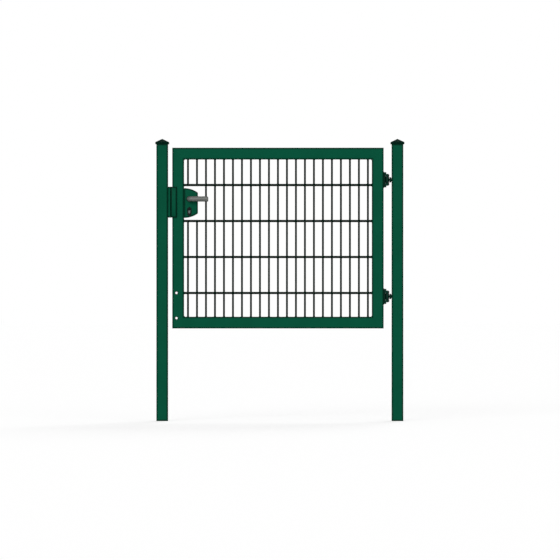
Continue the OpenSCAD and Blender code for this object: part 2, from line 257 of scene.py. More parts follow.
def object_place(group):
    return group.nodes.new("ShaderNodeTexCoord").outputs["Object"]


def coat_effect():
    """Skin of a baked powder coat: orange peel, fine grain and slow changes of tone."""
    group, given, out = effect("coat_skin", [("Peel", 420), ("Grain", 2600)], ["Height", "Tone", "Gloss"])
    place = object_place(group)
    peel = put(group, "ShaderNodeTexNoise", {"Detail": 2}, {"Vector": place, "Scale": given["Peel"]})
    grain = put(group, "ShaderNodeTexNoise", {"Detail": 1}, {"Vector": place, "Scale": given["Grain"]})
    fine = reckon(group, "MULTIPLY", grain.outputs["Fac"], GRAIN_SHARE)
    group.links.new(reckon(group, "ADD", peel.outputs["Fac"], fine), out["Height"])
    tone = noise(group, place, scale=7, detail=4, rough=0.6)
    gloss = noise(group, place, scale=38, detail=3)
    group.links.new(reach(group, tone, low=0.3, high=0.7), out["Tone"])
    group.links.new(reach(group, gloss, low=0.35, high=0.65), out["Gloss"])
    return group


def dust_effect():
    """Dust that lies where a surface looks up, in patches."""
    group, given, out = effect("settled_dust", [("Amount", 0.3)], ["Mask"])
    normal = group.nodes.new("ShaderNodeNewGeometry").outputs["Normal"]
    up = put(group, "ShaderNodeSeparateXYZ", {}, {"Vector": normal}).outputs["Z"]
    lying = reach(group, up, low=0.55, high=0.95)
    patches = noise(group, object_place(group), scale=60, detail=5, rough=0.65)
    patches = reach(group, patches, low=0.42, high=0.68)
    mask = reckon(group, "MULTIPLY", lying, patches)
    group.links.new(reckon(group, "MULTIPLY", mask, given["Amount"]), out["Mask"])
    return group


def facing_y(group):
    """How squarely a surface faces the front or the back of the gate, from 0 to 1."""
    normal = group.nodes.new("ShaderNodeTexCoord").outputs["Normal"]
    split = put(group, "ShaderNodeSeparateXYZ", {}, {"Vector": normal})
    return reckon(group, "ABSOLUTE", split.outputs["Y"], 0)


def edge_shade_effect():
    """Mask of painted shade on the rounded edges between a front or back face and the faces beside it."""
    group, given, out = effect("painted_edge_shade", [("Amount", 0.5)], ["Mask"])
    facing = facing_y(group)
    strip = reckon(group, "MULTIPLY", reach(group, facing, *FLAT_FACING), reach(group, facing, *SIDE_FACING))
    group.links.new(reckon(group, "MULTIPLY", strip, given["Amount"]), out["Mask"])
    return group


def shade_along_outline(group, inside, width):
    """Mask of painted shade along an outline: inside is a point's distance from it, width the fade of the
    shade.
    """
    away = reckon(group, "ABSOLUTE", inside, 0)
    near = reckon(group, "SUBTRACT", 1, reckon(group, "DIVIDE", away, width))
    flat = reach(group, facing_y(group), *SIDE_FACING)
    return reckon(group, "MULTIPLY", reach(group, near, 0, SHADE_FULL), flat)


def border_shade_effect():
    """Mask of painted shade that rises towards the outline of an upright rectangle, on its front and back
    faces.
    """
    sides = [(side, 0) for side in ("Low X", "High X", "Low Z", "High Z")]
    group, given, out = effect("painted_border_shade", sides + [("Width", SHADE_WIDTH)], ["Mask"])
    at = put(group, "ShaderNodeSeparateXYZ", {}, {"Vector": object_place(group)}).outputs
    inside = [reckon(group, "MINIMUM", reckon(group, "SUBTRACT", at[way], given["Low " + way]),
                     reckon(group, "SUBTRACT", given["High " + way], at[way])) for way in "XZ"]
    inside = reckon(group, "MINIMUM", *inside)
    group.links.new(shade_along_outline(group, inside, given["Width"]), out["Mask"])
    return group


def case_outline_shade_effect():
    """Mask of painted shade along the lock case's outline: its stile side, its free side and the two arcs
    between them.
    """
    inputs = [("Low X", 0), ("High X", 0), ("Middle Z", 0), ("Centre", 0), ("Radius", 1), ("Width", SHADE_WIDTH)]
    group, given, out = effect("painted_case_outline_shade", inputs, ["Mask"])
    at = put(group, "ShaderNodeSeparateXYZ", {}, {"Vector": object_place(group)}).outputs
    along = reckon(group, "SUBTRACT", at["X"], given["Low X"])
    rise = reckon(group, "ABSOLUTE", reckon(group, "SUBTRACT", at["Z"], given["Middle Z"]), 0)
    rise = reckon(group, "SUBTRACT", rise, given["Centre"])
    squares = [reckon(group, "MULTIPLY", value, value) for value in (along, rise)]
    from_centre = reckon(group, "SQRT", reckon(group, "ADD", *squares), 0)
    inside = reckon(group, "SUBTRACT", given["Radius"], from_centre)
    inside = reckon(group, "MINIMUM", inside, reckon(group, "SUBTRACT", given["High X"], at["X"]))
    inside = reckon(group, "MINIMUM", inside, along)
    group.links.new(shade_along_outline(group, inside, given["Width"]), out["Mask"])
    return group


def brush_effect():
    """Fine straight marks of a brushed or drawn metal, along X, Y or Z as the scales say."""
    group, given, out = effect(
        "brush_marks", [("Across X", 40), ("Across Y", 2500), ("Across Z", 2500)], ["Height", "Tone"])
    stretch = put(group, "ShaderNodeCombineXYZ", {},
                  {"X": given["Across X"], "Y": given["Across Y"], "Z": given["Across Z"]})
    drawn = put(group, "ShaderNodeVectorMath", operation="MULTIPLY")
    group.links.new(object_place(group), drawn.inputs[0])
    group.links.new(stretch.outputs[0], drawn.inputs[1])
    marks = noise(group, drawn.outputs[0], scale=1, detail=3, rough=0.6)
    group.links.new(marks, out["Height"])
    group.links.new(reach(group, marks, low=0.3, high=0.7), out["Tone"])
    return group


COAT, DUST, BRUSH = coat_effect(), dust_effect(), brush_effect()
# Masks of painted shade on rounded edges and along outlines.
EDGE_SHADE, BORDER_SHADE, CASE_OUTLINE_SHADE = edge_shade_effect(), border_shade_effect(), case_outline_shade_effect()
DUST_COLOUR = colour(150, 150, 138)
COAT_TONES = (0.93, 1.07)      # darkest and lightest share of a coat's tone
COAT_GLOSS = (-0.04, 0.06)     # change of a coat's roughness where it is glossiest and dullest
METAL_TONES = (0.86, 1.1)
METAL_GLOSS = (-0.06, 0.1)
SHADE_TONE = 0.25               # share of the coat's tone kept where the painted shade is darkest


# ---------------------------------------------------------------- finishes

def start_material(name, metallic, specular, roughness):
    """Material with a Principled shader whose plain values are set."""
    material = bpy.data.materials.new(name)
    material.use_nodes = True
    tree = material.node_tree
    shader = tree.nodes["Principled BSDF"]
    shader.inputs["Metallic"].default_value = metallic
    shader.inputs["Specular IOR Level"].default_value = specular
    shader.inputs["Roughness"].default_value = roughness
    return material, tree, shader


def use(tree, group, **values):
    made = tree.nodes.new("ShaderNodeGroup")
    made.node_tree = group
    for label, value in values.items():
        made.inputs[label.replace("_", " ")].default_value = value
    return made.outputs


def bump(tree, shader, height, depth):
    made = put(tree, "ShaderNodeBump", {"Strength": 1.0, "Distance": depth}, {"Height": height})
    tree.links.new(made.outputs["Normal"], shader.inputs["Normal"])


def shade(tone, share):
    return tuple(value * share for value in tone[:3]) + (1,)


def vary(tree, shader, mask, tone, tones, gloss_mask, roughness, changes):
    """Colour that wanders between two shares of a tone; the roughness wanders with its own mask."""
    glossiest, dullest = (roughness + change for change in changes)
    tree.links.new(reach(tree, gloss_mask, 0, 1, glossiest, dullest), shader.inputs["Roughness"])
    return blend_colours(tree, mask, *(shade(tone, share) for share in tones))


# edge sets how dark the painted shade on rounded edges and along the given outlines gets.
def coated(name, tone, roughness=0.5, specular=0.025, peel=420, depth=0.00006, edge=0.8, dust=0.1,
           shade_bands=(), outline=None):
    """Powder-coated or moulded surface, with painted shade on its rounded edges and along the given outlines.
    """
    material, tree, shader = start_material(name, metallic=0, specular=specular, roughness=roughness)
    skin = use(tree, COAT, Peel=peel)
    body = vary(tree, shader, skin["Tone"], tone, COAT_TONES, skin["Gloss"], roughness, COAT_GLOSS)
    # Painted shade: the rounded edges, the given rectangles and the case outline darken towards a share of
    # the tone.
    dark = use(tree, EDGE_SHADE, Amount=edge)["Mask"]
    shade_strips = [use(tree, BORDER_SHADE, Low_X=low.x, High_X=high.x, Low_Z=low.z, High_Z=high.z, Width=width)["Mask"]
              for low, high, width in shade_bands]
    if outline:
        shade_strips.append(use(tree, CASE_OUTLINE_SHADE, **outline)["Mask"])
    for strip in shade_strips:
        dark = reckon(tree, "MAXIMUM", dark, reckon(tree, "MULTIPLY", strip, edge))
    body = blend_colours(tree, dark, body, shade(tone, SHADE_TONE))
    body = blend_colours(tree, use(tree, DUST, Amount=dust)["Mask"], body, DUST_COLOUR)
    tree.links.new(body, shader.inputs["Base Color"])
    bump(tree, shader, skin["Height"], depth)
    return material


def metal(name, tone, roughness, along, depth=0.00002, metallic=1):
    """Brushed metal; along gives how closely the marks follow one another on X, Y and Z."""
    material, tree, shader = start_material(name, metallic, specular=0.5, roughness=roughness)
    marks = use(tree, BRUSH, Across_X=along[0], Across_Y=along[1], Across_Z=along[2])
    body = vary(tree, shader, marks["Tone"], tone, METAL_TONES, marks["Tone"], roughness, METAL_GLOSS)
    tree.links.new(body, shader.inputs["Base Color"])
    bump(tree, shader, marks["Height"], depth)
    return material


FRAME_TUBES = ("lock_stile", "hinge_stile", "top_rail", "bottom_rail")
POSTS = ("latch_post", "hinge_post")
KEEP = ("keep_channel", "stop_angle")

FAR_OFF = 0.05           # takes a side of an outline well off the piece, so that no painted shade shows there
FOLD_INSET = 0.004       # from the edge of the keep's angle to its fold, along which a band of painted shade runs

case_low, case_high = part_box("lock_case")
lock_z = (case_low.z + case_high.z) / 2
CASE_SIDE = 0.116        # height of the case's straight free side
case_width = case_high.x - case_low.x
case_drop = (case_high.z - case_low.z - CASE_SIDE) / 2
case_arc_r = (case_width ** 2 + case_drop ** 2) / (2 * case_drop)

GREEN = colour(4, 79, 56)
# Every coat below keeps painted shade on its rounded edges unless its edge is 0; the post, frame, keep and
# case coats also get painted shade along outlines and the keep's fold.
green_coat = coated("green_coat", GREEN)
post_coat_and_shade = coated("post_coat_and_shade", GREEN, shade_bands=[shade_band(span(node), SHADE_WIDTH) for node in POSTS])
frame_coat_and_shade = coated("frame_coat_and_shade", GREEN,
                    shade_bands=[shade_band(span(*FRAME_TUBES), SHADE_WIDTH), shade_band(span("mesh_panel"), SHADE_WIDTH)])
keep_coat_and_shade = coated("keep_coat_and_shade", GREEN, edge=1,
                   shade_bands=[shade_band(span(*KEEP), SHADE_WIDTH, left=FAR_OFF),
                            shade_band(span("stop_angle"), SHADE_WIDTH / 2, left=-FOLD_INSET, right=FAR_OFF,
                                   ends=FAR_OFF)])
case_coat_and_shade = coated("case_coat_and_shade", GREEN, edge=0.85,
                   outline={"Low_X": case_low.x, "High_X": case_high.x, "Middle_Z": lock_z,
                            "Centre": case_high.z - lock_z - case_arc_r, "Radius": case_arc_r, "Width": SHADE_WIDTH})
weld_coat = coated("weld_coat", colour(4, 66, 47), peel=700, depth=0.0004, edge=0)
seam_coat = coated("seam_coat", GREEN, peel=260, depth=0.0003, edge=0)
mesh_coat = coated("mesh_coat", colour(6, 24, 17), edge=0, dust=0.03)
MOULDED = {"peel": 1500, "depth": 0.00003, "edge": 0}
FORGED = {"roughness": 0.42, "specular": 0.04, "peel": 600, "depth": 0.00008, "dust": 0.03}
cap_plastic = coated("cap_plastic", colour(4, 33, 24), roughness=0.65, specular=0.01, dust=0.01, **MOULDED)
hinge_coat = coated("hinge_coat", colour(7, 42, 32), **FORGED)
bracket_coat = coated("bracket_coat", colour(14, 54, 43), **FORGED)
black_plastic = coated("black_plastic", colour(4, 9, 8), roughness=0.4, specular=0.1, dust=0.03, **MOULDED)
rubber = coated("buffer_rubber", colour(20, 22, 22), roughness=0.7, specular=0.1, peel=900, depth=0.00008,
                edge=0)
handle_metal = metal("handle_metal", colour(98, 101, 98), roughness=0.5, along=(60, 1800, 1800), metallic=0.4)
lock_steel = metal("lock_steel", colour(165, 168, 168), roughness=0.3, along=(1800, 1800, 40))
cylinder_metal = metal("cylinder_metal", colour(96, 100, 98), roughness=0.32, along=(1600, 1600, 60))
# Near-black of the boxes that paint the shade inside the key slots.
slot_painted_shade = coated("slot_painted_shade", colour(5, 6, 6), roughness=0.8, specular=0.1, edge=0, dust=0)

FINISHES = {"green_coat": green_coat, "mesh_coat": mesh_coat, "cap_plastic": cap_plastic,
            "hinge_coat": hinge_coat, "black_plastic": black_plastic, "buffer_rubber": rubber,
            "handle_metal": handle_metal, "lock_steel": lock_steel, "cylinder_metal": cylinder_metal}
for part in frame["record"]["subparts"]:
    frame["nodes"][part["node"]].data.materials[0] = FINISHES[part["material_slot"]]
for node in POSTS:
    frame["nodes"][node].data.materials[0] = post_coat_and_shade
for node in FRAME_TUBES:
    frame["nodes"][node].data.materials[0] = frame_coat_and_shade


# ---------------------------------------------------------------- mesh

WIRE_PITCH = 0.050
ROW_PITCH = 0.200
ROWS = 4
WIRE_R = 0.0055
CROSS_R = 0.0065
WIRE_SIDES = 16
SPOT = Vector((0.0067, 0.0025, 0.0076))    # half sizes of the weld where two wires cross
COLLAR_LENGTH = 0.003    # of the weld round a wire's end
COLLAR_GROWTH = 0.0024   # by which that weld is thicker than the wire
COLLAR_SIDES = 12

mat_low, mat_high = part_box("mesh_panel")
cross_y = (mat_high.y - mat_low.y) / 2 - CROSS_R


def wire_places():
    """Place of each upright wire along X, and whether the lock's bay cuts it."""
    count = round((mat_high.x - mat_low.x) / WIRE_PITCH)
    first = (mat_low.x + mat_high.x - (count - 1) * WIRE_PITCH) / 2
    places = [first + i * WIRE_PITCH for i in range(count)]
    return [(x, x < case_high.x + 2 * WIRE_R) for x in places]


def row_places():
    return [lock_z + ROW_PITCH / 2 - k * ROW_PITCH for k in range(ROWS)]


def wire_stretches(cut):
    """Heights between which an upright wire runs."""
    rows = row_places()
    if cut:
        return [(mat_low.z, rows[1] + CROSS_R), (rows[0] - CROSS_R, mat_high.z)]
    return [(mat_low.z, mat_high.z)]


def add_collar(bm, end, way, radius):
    """Weld round the end of a wire, narrower away from the tube."""
    end = Vector(end)
    add_rod(bm, end, end + way * COLLAR_LENGTH, radius + COLLAR_GROWTH, COLLAR_SIDES, radius)


def make_mesh():
    uprights, rows, spots = bmesh.new(), bmesh.new(), bmesh.new()
    for x, cut in wire_places():
        for low, high in wire_stretches(cut):
            add_rod(uprights, (x, 0, low), (x, 0, high), WIRE_R, WIRE_SIDES)
        for z, way in ((mat_low.z, Z), (mat_high.z, -Z)):
            add_collar(spots, (x, 0, z), way, WIRE_R)
        for z in row_places():
            for side in (-1, 1):
                add_blob(spots, (x, side * WIRE_R, z), SPOT)
    for z in row_places():
        for side in (-1, 1):
            y = side * cross_y
            add_rod(rows, (mat_low.x, y, z), (mat_high.x, y, z), CROSS_R, WIRE_SIDES)
            for x, way in ((mat_low.x, X), (mat_high.x, -X)):
                add_collar(spots, (x, y, z), way, CROSS_R)
    piece(uprights, "mesh_uprights", "leaf", mesh_coat, ["mesh_panel"])
    piece(rows, "mesh_cross_wires", "leaf", mesh_coat, ["mesh_panel"])
    piece(spots, "mesh_welds", "leaf", mesh_coat, ["mesh_panel"], crease=60)


# ---------------------------------------------------------------- leaf frame

def make_corner_welds():
    """Beads that are left in the inner corners of the mitred frame."""
    bead_r = 0.0034
    out_of_corner = 0.0008
    short_of_face = 0.0035
    bm = bmesh.new()
    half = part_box("lock_stile")[1].y - short_of_face
    for x in (mat_low.x + out_of_corner, mat_high.x - out_of_corner):
        for z in (mat_low.z + out_of_corner, mat_high.z - out_of_corner):
            add_rod(bm, (x, -half, z), (x, half, z), bead_r, sides=16)
    round_edges(bm, width=0.0012, segments=2)
    piece(bm, "frame_corner_welds", "leaf", weld_coat)


def make_mitre_seams():
    """Ground weld seams along the frame's mitres, on the flat of its front and back faces."""
    low, high = span(*FRAME_TUBES)
    corner_r = 0.005
    half_width = 0.0020
    rise = 0.00025
    bm = bmesh.new()
    for y in (low.y, high.y):
        for outer_x, inner_x in ((low.x, mat_low.x), (high.x, mat_high.x)):
            for outer_z, inner_z in ((low.z, mat_low.z), (high.z, mat_high.z)):
                outer, inner = Vector((outer_x, y, outer_z)), Vector((inner_x, y, inner_z))
                run = inner - outer
                half = run.length / 2 - corner_r * math.sqrt(2)
                add_blob(bm, (outer + inner) / 2, (half_width, rise, half), sides=12, rings=24,
                         tilt=math.atan2(run.x, run.z))
    piece(bm, "frame_mitre_seams", "leaf", seam_coat)


def make_hole_bushes():
    """Thin black bushes in the drop bolt's holes: partly a guessed real part, partly a dark rim that paints
    the shade round the holes' edges.
    """
    low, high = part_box("lock_stile")
    pattern = next(m for m in frame["record"]["mounts"] if m["name"] == "drop_bolt_holes")
    centre = Vector(pattern["pos_m"])
    spacing = pattern["dims"]["spacing_y_mm"] / 1000
    bore = pattern["dims"]["hole_r_mm"] / 1000
    sunk = 0.002
    proud = 0.0011
    rim = bore + 0.0033
    soft_in = 0.0003
    soft_out = 0.0005
    soft_down = 0.0004
    profile = [(-sunk, bore), (proud - soft_in, bore), (proud, bore + soft_in), (proud, rim - soft_out),
               (proud - soft_down, rim), (0, rim), (-sunk, bore)]
    bm = bmesh.new()
    for z in (centre.z - spacing / 2, centre.z + spacing / 2):
        for side in (-1, 1):
            face = Vector((centre.x, high.y if side > 0 else low.y, z))
            add_turned(bm, profile, face, Y * side, sides=48)
    piece(bm, "drop_hole_rims", "leaf", black_plastic)


# ---------------------------------------------------------------- post caps

CAP_RIM = 0.011          # height of a cap's upright rim above the post's end
PLUG_INSET = 0.0083      # from the side of the rim to the side of the plug


def make_cap(node, name):
    """Cap with four slopes, a little round along its ridges, and the plug under it."""
    low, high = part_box(node)
    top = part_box(node.replace("_cap", ""))[1].z
    rise = high.z - top - CAP_RIM
    bm = bmesh.new()
    add_box(bm, (low.x, low.y, top), (high.x, high.y, high.z - rise))
    crown = max(bm.faces, key=lambda face: face.calc_center_median().z)
    bmesh.ops.poke(bm, faces=[crown], offset=rise)
    under = min(bm.faces, key=lambda face: face.calc_center_median().z)
    bmesh.ops.inset_region(bm, faces=[under], thickness=PLUG_INSET, use_even_offset=True)
    pushed = bmesh.ops.extrude_face_region(bm, geom=[under])["geom"]
    bmesh.ops.translate(bm, verts=verts_of(pushed), vec=(0, 0, low.z - top))
    round_edges(bm, width=0.0014, segments=3, crease=20)
    piece(bm, name, "posts", cap_plastic, [node])


# ---------------------------------------------------------------- lock

def make_lock_case():
    """D-shaped case: two arcs leave the stile and meet the straight free side at round corners."""
    low, high = case_low, case_high
    corner_r = 0.004
    bm = bmesh.new()
    top = bm.verts.new((low.x, low.y, high.z))
    bmesh.ops.spin(bm, geom=[top], cent=(low.x, low.y, high.z - case_arc_r), axis=Y, dvec=(0, 0, 0),
                   angle=math.asin(case_width / case_arc_r), steps=20)
    upper = list(bm.verts)
    halves = bmesh.ops.duplicate(bm, geom=upper + list(bm.edges))
    lower = verts_of(halves["geom"])
    bmesh.ops.scale(bm, vec=(1, 1, -1), space=Matrix.Translation((0, 0, -lock_z)), verts=lower)
    for pick in (min, max):
        bm.edges.new((pick(upper, key=lambda v: v.co.x), pick(lower, key=lambda v: v.co.x)))
    bmesh.ops.edgeloop_fill(bm, edges=bm.edges)
    ends = [max(upper, key=lambda v: v.co.x), max(lower, key=lambda v: v.co.x)]
    bmesh.ops.bevel(bm, geom=ends, offset=corner_r, offset_type="OFFSET", segments=6, profile=0.5,
                    affect="VERTICES", material=-1, clamp_overlap=True)
    pushed = bmesh.ops.extrude_face_region(bm, geom=list(bm.faces))["geom"]
    bmesh.ops.translate(bm, verts=verts_of(pushed), vec=(0, high.y - low.y, 0))
    round_edges(bm, width=0.0035, segments=5, chosen=clear_of(low.x))
    piece(bm, "lock_case_shell", "leaf", case_coat_and_shade, ["lock_case"])


def make_escutcheons():
    for node in ("front_escutcheon", "back_escutcheon"):
        bm = softened(node, width=0.0007, segments=3)
        piece(bm, node + "_plate", "leaf", black_plastic, [node])


def make_cylinder():
    """Profile cylinder with a turning plug on each side, and on each plug a near-black box that paints the
    shade of the key's slot.
    """
    low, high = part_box("lock_cylinder")
    axis_x = (low.x + high.x) / 2
    axis_z = high.z - (high.x - low.x) / 2
    body = softened("lock_cylinder", width=0.0004)
    plug_r = 0.0084
    dish_r = 0.0058
    sunk = 0.002
    proud = 0.0008
    dish = 0.0005
    soft = 0.0004
    slot_face = 0.0009
    slot_half = Vector((0.0009, 0.0003, 0.0045))
    slot_drop = 0.0010
    profile = [(-sunk, 0), (-sunk, plug_r), (proud - soft, plug_r), (proud, plug_r - soft), (proud, dish_r),
               (dish, dish_r - soft / 2), (dish, 0)]
    plugs, slot_shade_boxes = bmesh.new(), bmesh.new()
    for side, face in ((-1, low.y), (1, high.y)):
        add_turned(plugs, profile, Vector((axis_x, face, axis_z)), Y * side, sides=40)
        # Painted shade: a near-black box on the plug's dish stands in for the dark hollow of the key's slot.
        slot = Vector((axis_x, face + side * slot_face, axis_z - slot_drop))
        add_box(slot_shade_boxes, slot - slot_half, slot + slot_half)
    piece(body, "lock_cylinder_body", "leaf", cylinder_metal, ["lock_cylinder"])
    piece(plugs, "lock_cylinder_plugs", "leaf", black_plastic)
    piece(slot_shade_boxes, "key_slot_shade_boxes", "leaf", slot_painted_shade)


def add_countersunk(bm, face, out, radius=0.004):
    """Countersunk screw head, a little proud, with a hexagon socket."""
    socket_r = radius / 2
    sunk = 0.0025
    socket = 0.0012
    proud = 0.0003
    soft = 0.0002
    profile = [(-sunk, 0), (-sunk, socket_r), (proud - soft, radius), (proud, radius - soft),
               (proud, socket_r), (-socket, socket_r), (-socket, 0)]
    add_turned(bm, profile, face, out, sides=24)


def make_forend():
    low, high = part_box("lock_forend")
    from_end = 0.010
    plate = softened("lock_forend", width=0.0004)
    piece(plate, "lock_forend_plate", "leaf", lock_steel, ["lock_forend"])
    for node in ("latch_bolt", "dead_bolt"):
        bar = softened(node, width=0.0008, segments=3)
        piece(bar, node + "_bar", "leaf", lock_steel, [node])
    screws = bmesh.new()
    for z in (low.z + from_end, middle("lock_cylinder").z, high.z - from_end):
        add_countersunk(screws, Vector((low.x, 0, z)), -X)
    piece(screws, "forend_screws", "leaf", lock_steel)


lever_axis = middle("spindle")
lever_r = (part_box("front_handle")[1].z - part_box("front_handle")[0].z) / 2


def stretch_ring(bm, ring, move, share=1.0):
    """Extrudes a ring of edges, moves it and scales it about its middle; gives the new ring."""
    made = bmesh.ops.extrude_edge_only(bm, edges=ring)["geom"]
    verts = verts_of(made)
    bmesh.ops.translate(bm, verts=verts, vec=move)
    centre = sum((v.co for v in verts), Vector()) / len(verts)
    bmesh.ops.scale(bm, verts=verts, vec=(share, share, share), space=Matrix.Translation(-centre))
    return edges_of(made)


def make_handle(node, side):
    """Lever bent from round bar: a neck on the case, a quarter bend and a grip with a rounded end."""
    low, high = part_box(node)
    clear = 0.0005
    chamfer = 0.0006
    inner_bend = 0.004
    soft = 0.004
    face = case_high.y + clear
    bend = lever_r + inner_bend
    reach_y = max(abs(low.y), abs(high.y)) - lever_r
    bm = bmesh.new()
    foot = Matrix.Translation((lever_axis.x, side * face, lever_axis.z))
    bmesh.ops.create_circle(bm, cap_ends=True, segments=48, radius=lever_r - chamfer,
                            matrix=foot @ Matrix.Rotation(math.pi / 2, 4, "X"))
    ring = stretch_ring(bm, list(bm.edges), Y * side * chamfer, lever_r / (lever_r - chamfer))
    ring = stretch_ring(bm, ring, Y * side * (reach_y - bend - face - chamfer))
    verts = list({v for e in ring for v in e.verts})
    elbow = (lever_axis.x + bend, side * (reach_y - bend), lever_axis.z)
    turned = bmesh.ops.spin(bm, geom=verts + ring, cent=elbow, axis=Z, dvec=(0, 0, 0),
                            angle=-side * math.pi / 2, steps=16)
    ring = edges_of(turned["geom_last"])
    ring = stretch_ring(bm, ring, X * (high.x - soft - lever_axis.x - bend))
    steps = 6
    radius, along = lever_r, 0
    for i in range(1, steps + 1):
        angle = math.pi / 2 * i / steps
        new_radius, new_along = lever_r - soft * (1 - math.cos(angle)), soft * math.sin(angle)
        ring = stretch_ring(bm, ring, X * (new_along - along), new_radius / radius)
        radius, along = new_radius, new_along
    bmesh.ops.edgeloop_fill(bm, edges=ring)
    piece(bm, node + "_lever", "handle", handle_metal, [node])


def make_handle_rings():
    """Black bearing rings on the case, in which the levers' necks turn."""
    bm = bmesh.new()
    inner = lever_r + 0.0004
    outer = lever_r + 0.0022
    sunk = 0.001
    proud = 0.0026
    soft_in = 0.0004
    soft_out = 0.0006
    profile = [(-sunk, inner), (proud - soft_in, inner), (proud, inner + soft_in), (proud, outer - soft_out),
               (proud - soft_out, outer), (-sunk, outer), (-sunk, inner)]
    for side, face in ((-1, case_low.y), (1, case_high.y)):
        add_turned(bm, profile, Vector((lever_axis.x, face, lever_axis.z)), Y * side, sides=48)
    piece(bm, "handle_rings", "leaf", black_plastic)


def make_grub_screws():
    """Grub screws that hold the levers on the spindle, in the underside of their necks."""
    bm = bmesh.new()
    out_y = 0.029
    radius = 0.0026
    socket_r = 0.0013
    sunk = 0.002
    socket = 0.0012
    proud = 0.0003
    soft_down = 0.0001
    soft_in = 0.0003
    profile = [(-sunk, 0), (-sunk, radius), (proud - soft_down, radius), (proud, radius - soft_in),
               (proud, socket_r), (-socket, socket_r), (-socket, 0)]
    for side in (-1, 1):
        add_turned(bm, profile, Vector((lever_axis.x, side * out_y, lever_axis.z - lever_r)), -Z, sides=20)
    piece(bm, "handle_grub_screws", "handle", lock_steel)


# ---------------------------------------------------------------- keep

KEEP_WALL = 0.003
LONG_EDGE = 0.12         # shorter upright edges of the keep aren't folds
ON_SIDE = 0.0001         # an edge this close to a side of the box lies on it


def is_fold(edge, outer):
    """Whether an edge is a long upright one at a corner of a piece's box."""
    start, end = (v.co for v in edge.verts)
    on_x, on_y = (min(abs(start[i] - outer[0][i]), abs(start[i] - outer[1][i])) < ON_SIDE for i in range(2))
    return abs(start.z - end.z) > LONG_EDGE and on_x and on_y


def make_keep():
    low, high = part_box("stop_angle")
    for node in KEEP:
        outer = span(node)
        bm = softened(node, width=0.0004, first=lambda edge: is_fold(edge, outer), first_width=0.004)
        piece(bm, node + "_folded", "posts", keep_coat_and_shade, [node])
    screws = bmesh.new()
    leg_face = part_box("keep_channel")[1].x + KEEP_WALL
    screw_y = -0.004
    from_end = 0.012
    for z in (low.z + from_end, high.z - from_end):
        add_countersunk(screws, Vector((leg_face, screw_y, z)), X, radius=0.005)
    piece(screws, "keep_screws", "posts", lock_steel)


def make_buffers():
    """Rubber pads with a round edge and a sunk screw."""
    low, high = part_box("stop_buffers")
    radius = (high.x - low.x) / 2
    thick = high.y - low.y
    soft = 0.0012
    sink = thick - 0.002
    sink_mouth_r = 0.0045
    sink_foot_r = 0.0038
    pad = [(0, 0), (0, radius), (thick - soft, radius), (thick - soft / 3, radius - 0.0005),
           (thick, radius - 0.0014), (thick, sink_mouth_r), (sink, sink_foot_r), (sink, 0)]
    head_foot = sink - 0.0002
    head_top = sink + 0.0012
    head_r = 0.003
    head = [(head_foot, 0), (head_foot, head_r), (head_top - 0.0004, head_r - 0.0002), (head_top, 0.0016),
            (head_top, 0)]
    bm, screws = bmesh.new(), bmesh.new()
    for z in (low.z + radius, high.z - radius):
        foot = Vector(((low.x + high.x) / 2, low.y, z))
        add_turned(bm, pad, foot, Y, sides=36)
        add_turned(screws, head, foot, Y, sides=20)
    piece(bm, "stop_buffer_pads", "posts", rubber, ["stop_buffers"])
    piece(screws, "stop_buffer_screws", "posts", lock_steel)


# ---------------------------------------------------------------- hinges

THREAD_PITCH = 0.002
THREAD_DEPTH = 0.0011
THREAD_STEPS = 20        # of each turn
STUD_R = 0.008


def add_thread(bm, start, end, crest):
    """Screw thread round a rod along X."""
    turns = (end.x - start.x) / THREAD_PITCH
    sunk = 0.0002
    root = crest - THREAD_DEPTH - sunk
    corners = [bm.verts.new(start + X * along + Z * radius)
               for along, radius in ((0, root), (THREAD_PITCH / 2, crest), (THREAD_PITCH, root))]
    ridge = bm.faces.new(corners)
    bmesh.ops.spin(bm, geom=corners + list(ridge.edges) + [ridge], cent=start, axis=X,
                   dvec=X * (THREAD_PITCH / THREAD_STEPS), angle=math.tau * turns,
                   steps=round(THREAD_STEPS * turns))


def make_eye_bolt(which):
    """Eye on the hinge pin and its threaded stud."""
    low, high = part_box(which + "_eye_bolt")
    pin = middle(which + "_hinge_pin")
    pin_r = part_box(which + "_hinge_pin")[1].x - pin.x
    eye_r = (high.y - low.y) / 2
    tall = high.z - low.z
    play = 0.0001
    bore = pin_r + play
    soft = 0.0012
    bm = bmesh.new()
    profile = [(0, bore + soft / 2), (0, eye_r - soft), (soft * 0.3, eye_r - soft * 0.3), (soft, eye_r),
               (tall - soft, eye_r), (tall - soft * 0.3, eye_r - soft * 0.3), (tall, eye_r - soft),
               (tall, bore + soft / 2), (tall - soft / 2, bore), (soft / 2, bore), (0, bore + soft / 2)]
    add_turned(bm, profile, Vector((pin.x, 0, low.z)), Z, sides=48)
    core_r = STUD_R - THREAD_DEPTH
    in_eye = 0.002
    neck_length = 0.0012
    in_post = 0.004
    start = Vector((pin.x + eye_r - in_eye, 0, pin.z))
    add_rod(bm, start, (high.x, 0, pin.z), core_r, sides=32)
    neck = Vector((pin.x + eye_r + neck_length, 0, pin.z))
    add_rod(bm, start, neck, STUD_R, sides=32, end_radius=core_r)
    thread = bmesh.new()
    add_thread(thread, neck, Vector((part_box("hinge_post")[0].x + in_post, 0, pin.z)), STUD_R)
    piece(bm, which + "_eye_bolt_forged", "posts", bracket_coat, [which + "_eye_bolt"])
    piece(thread, which + "_stud_thread", "posts", hinge_coat)


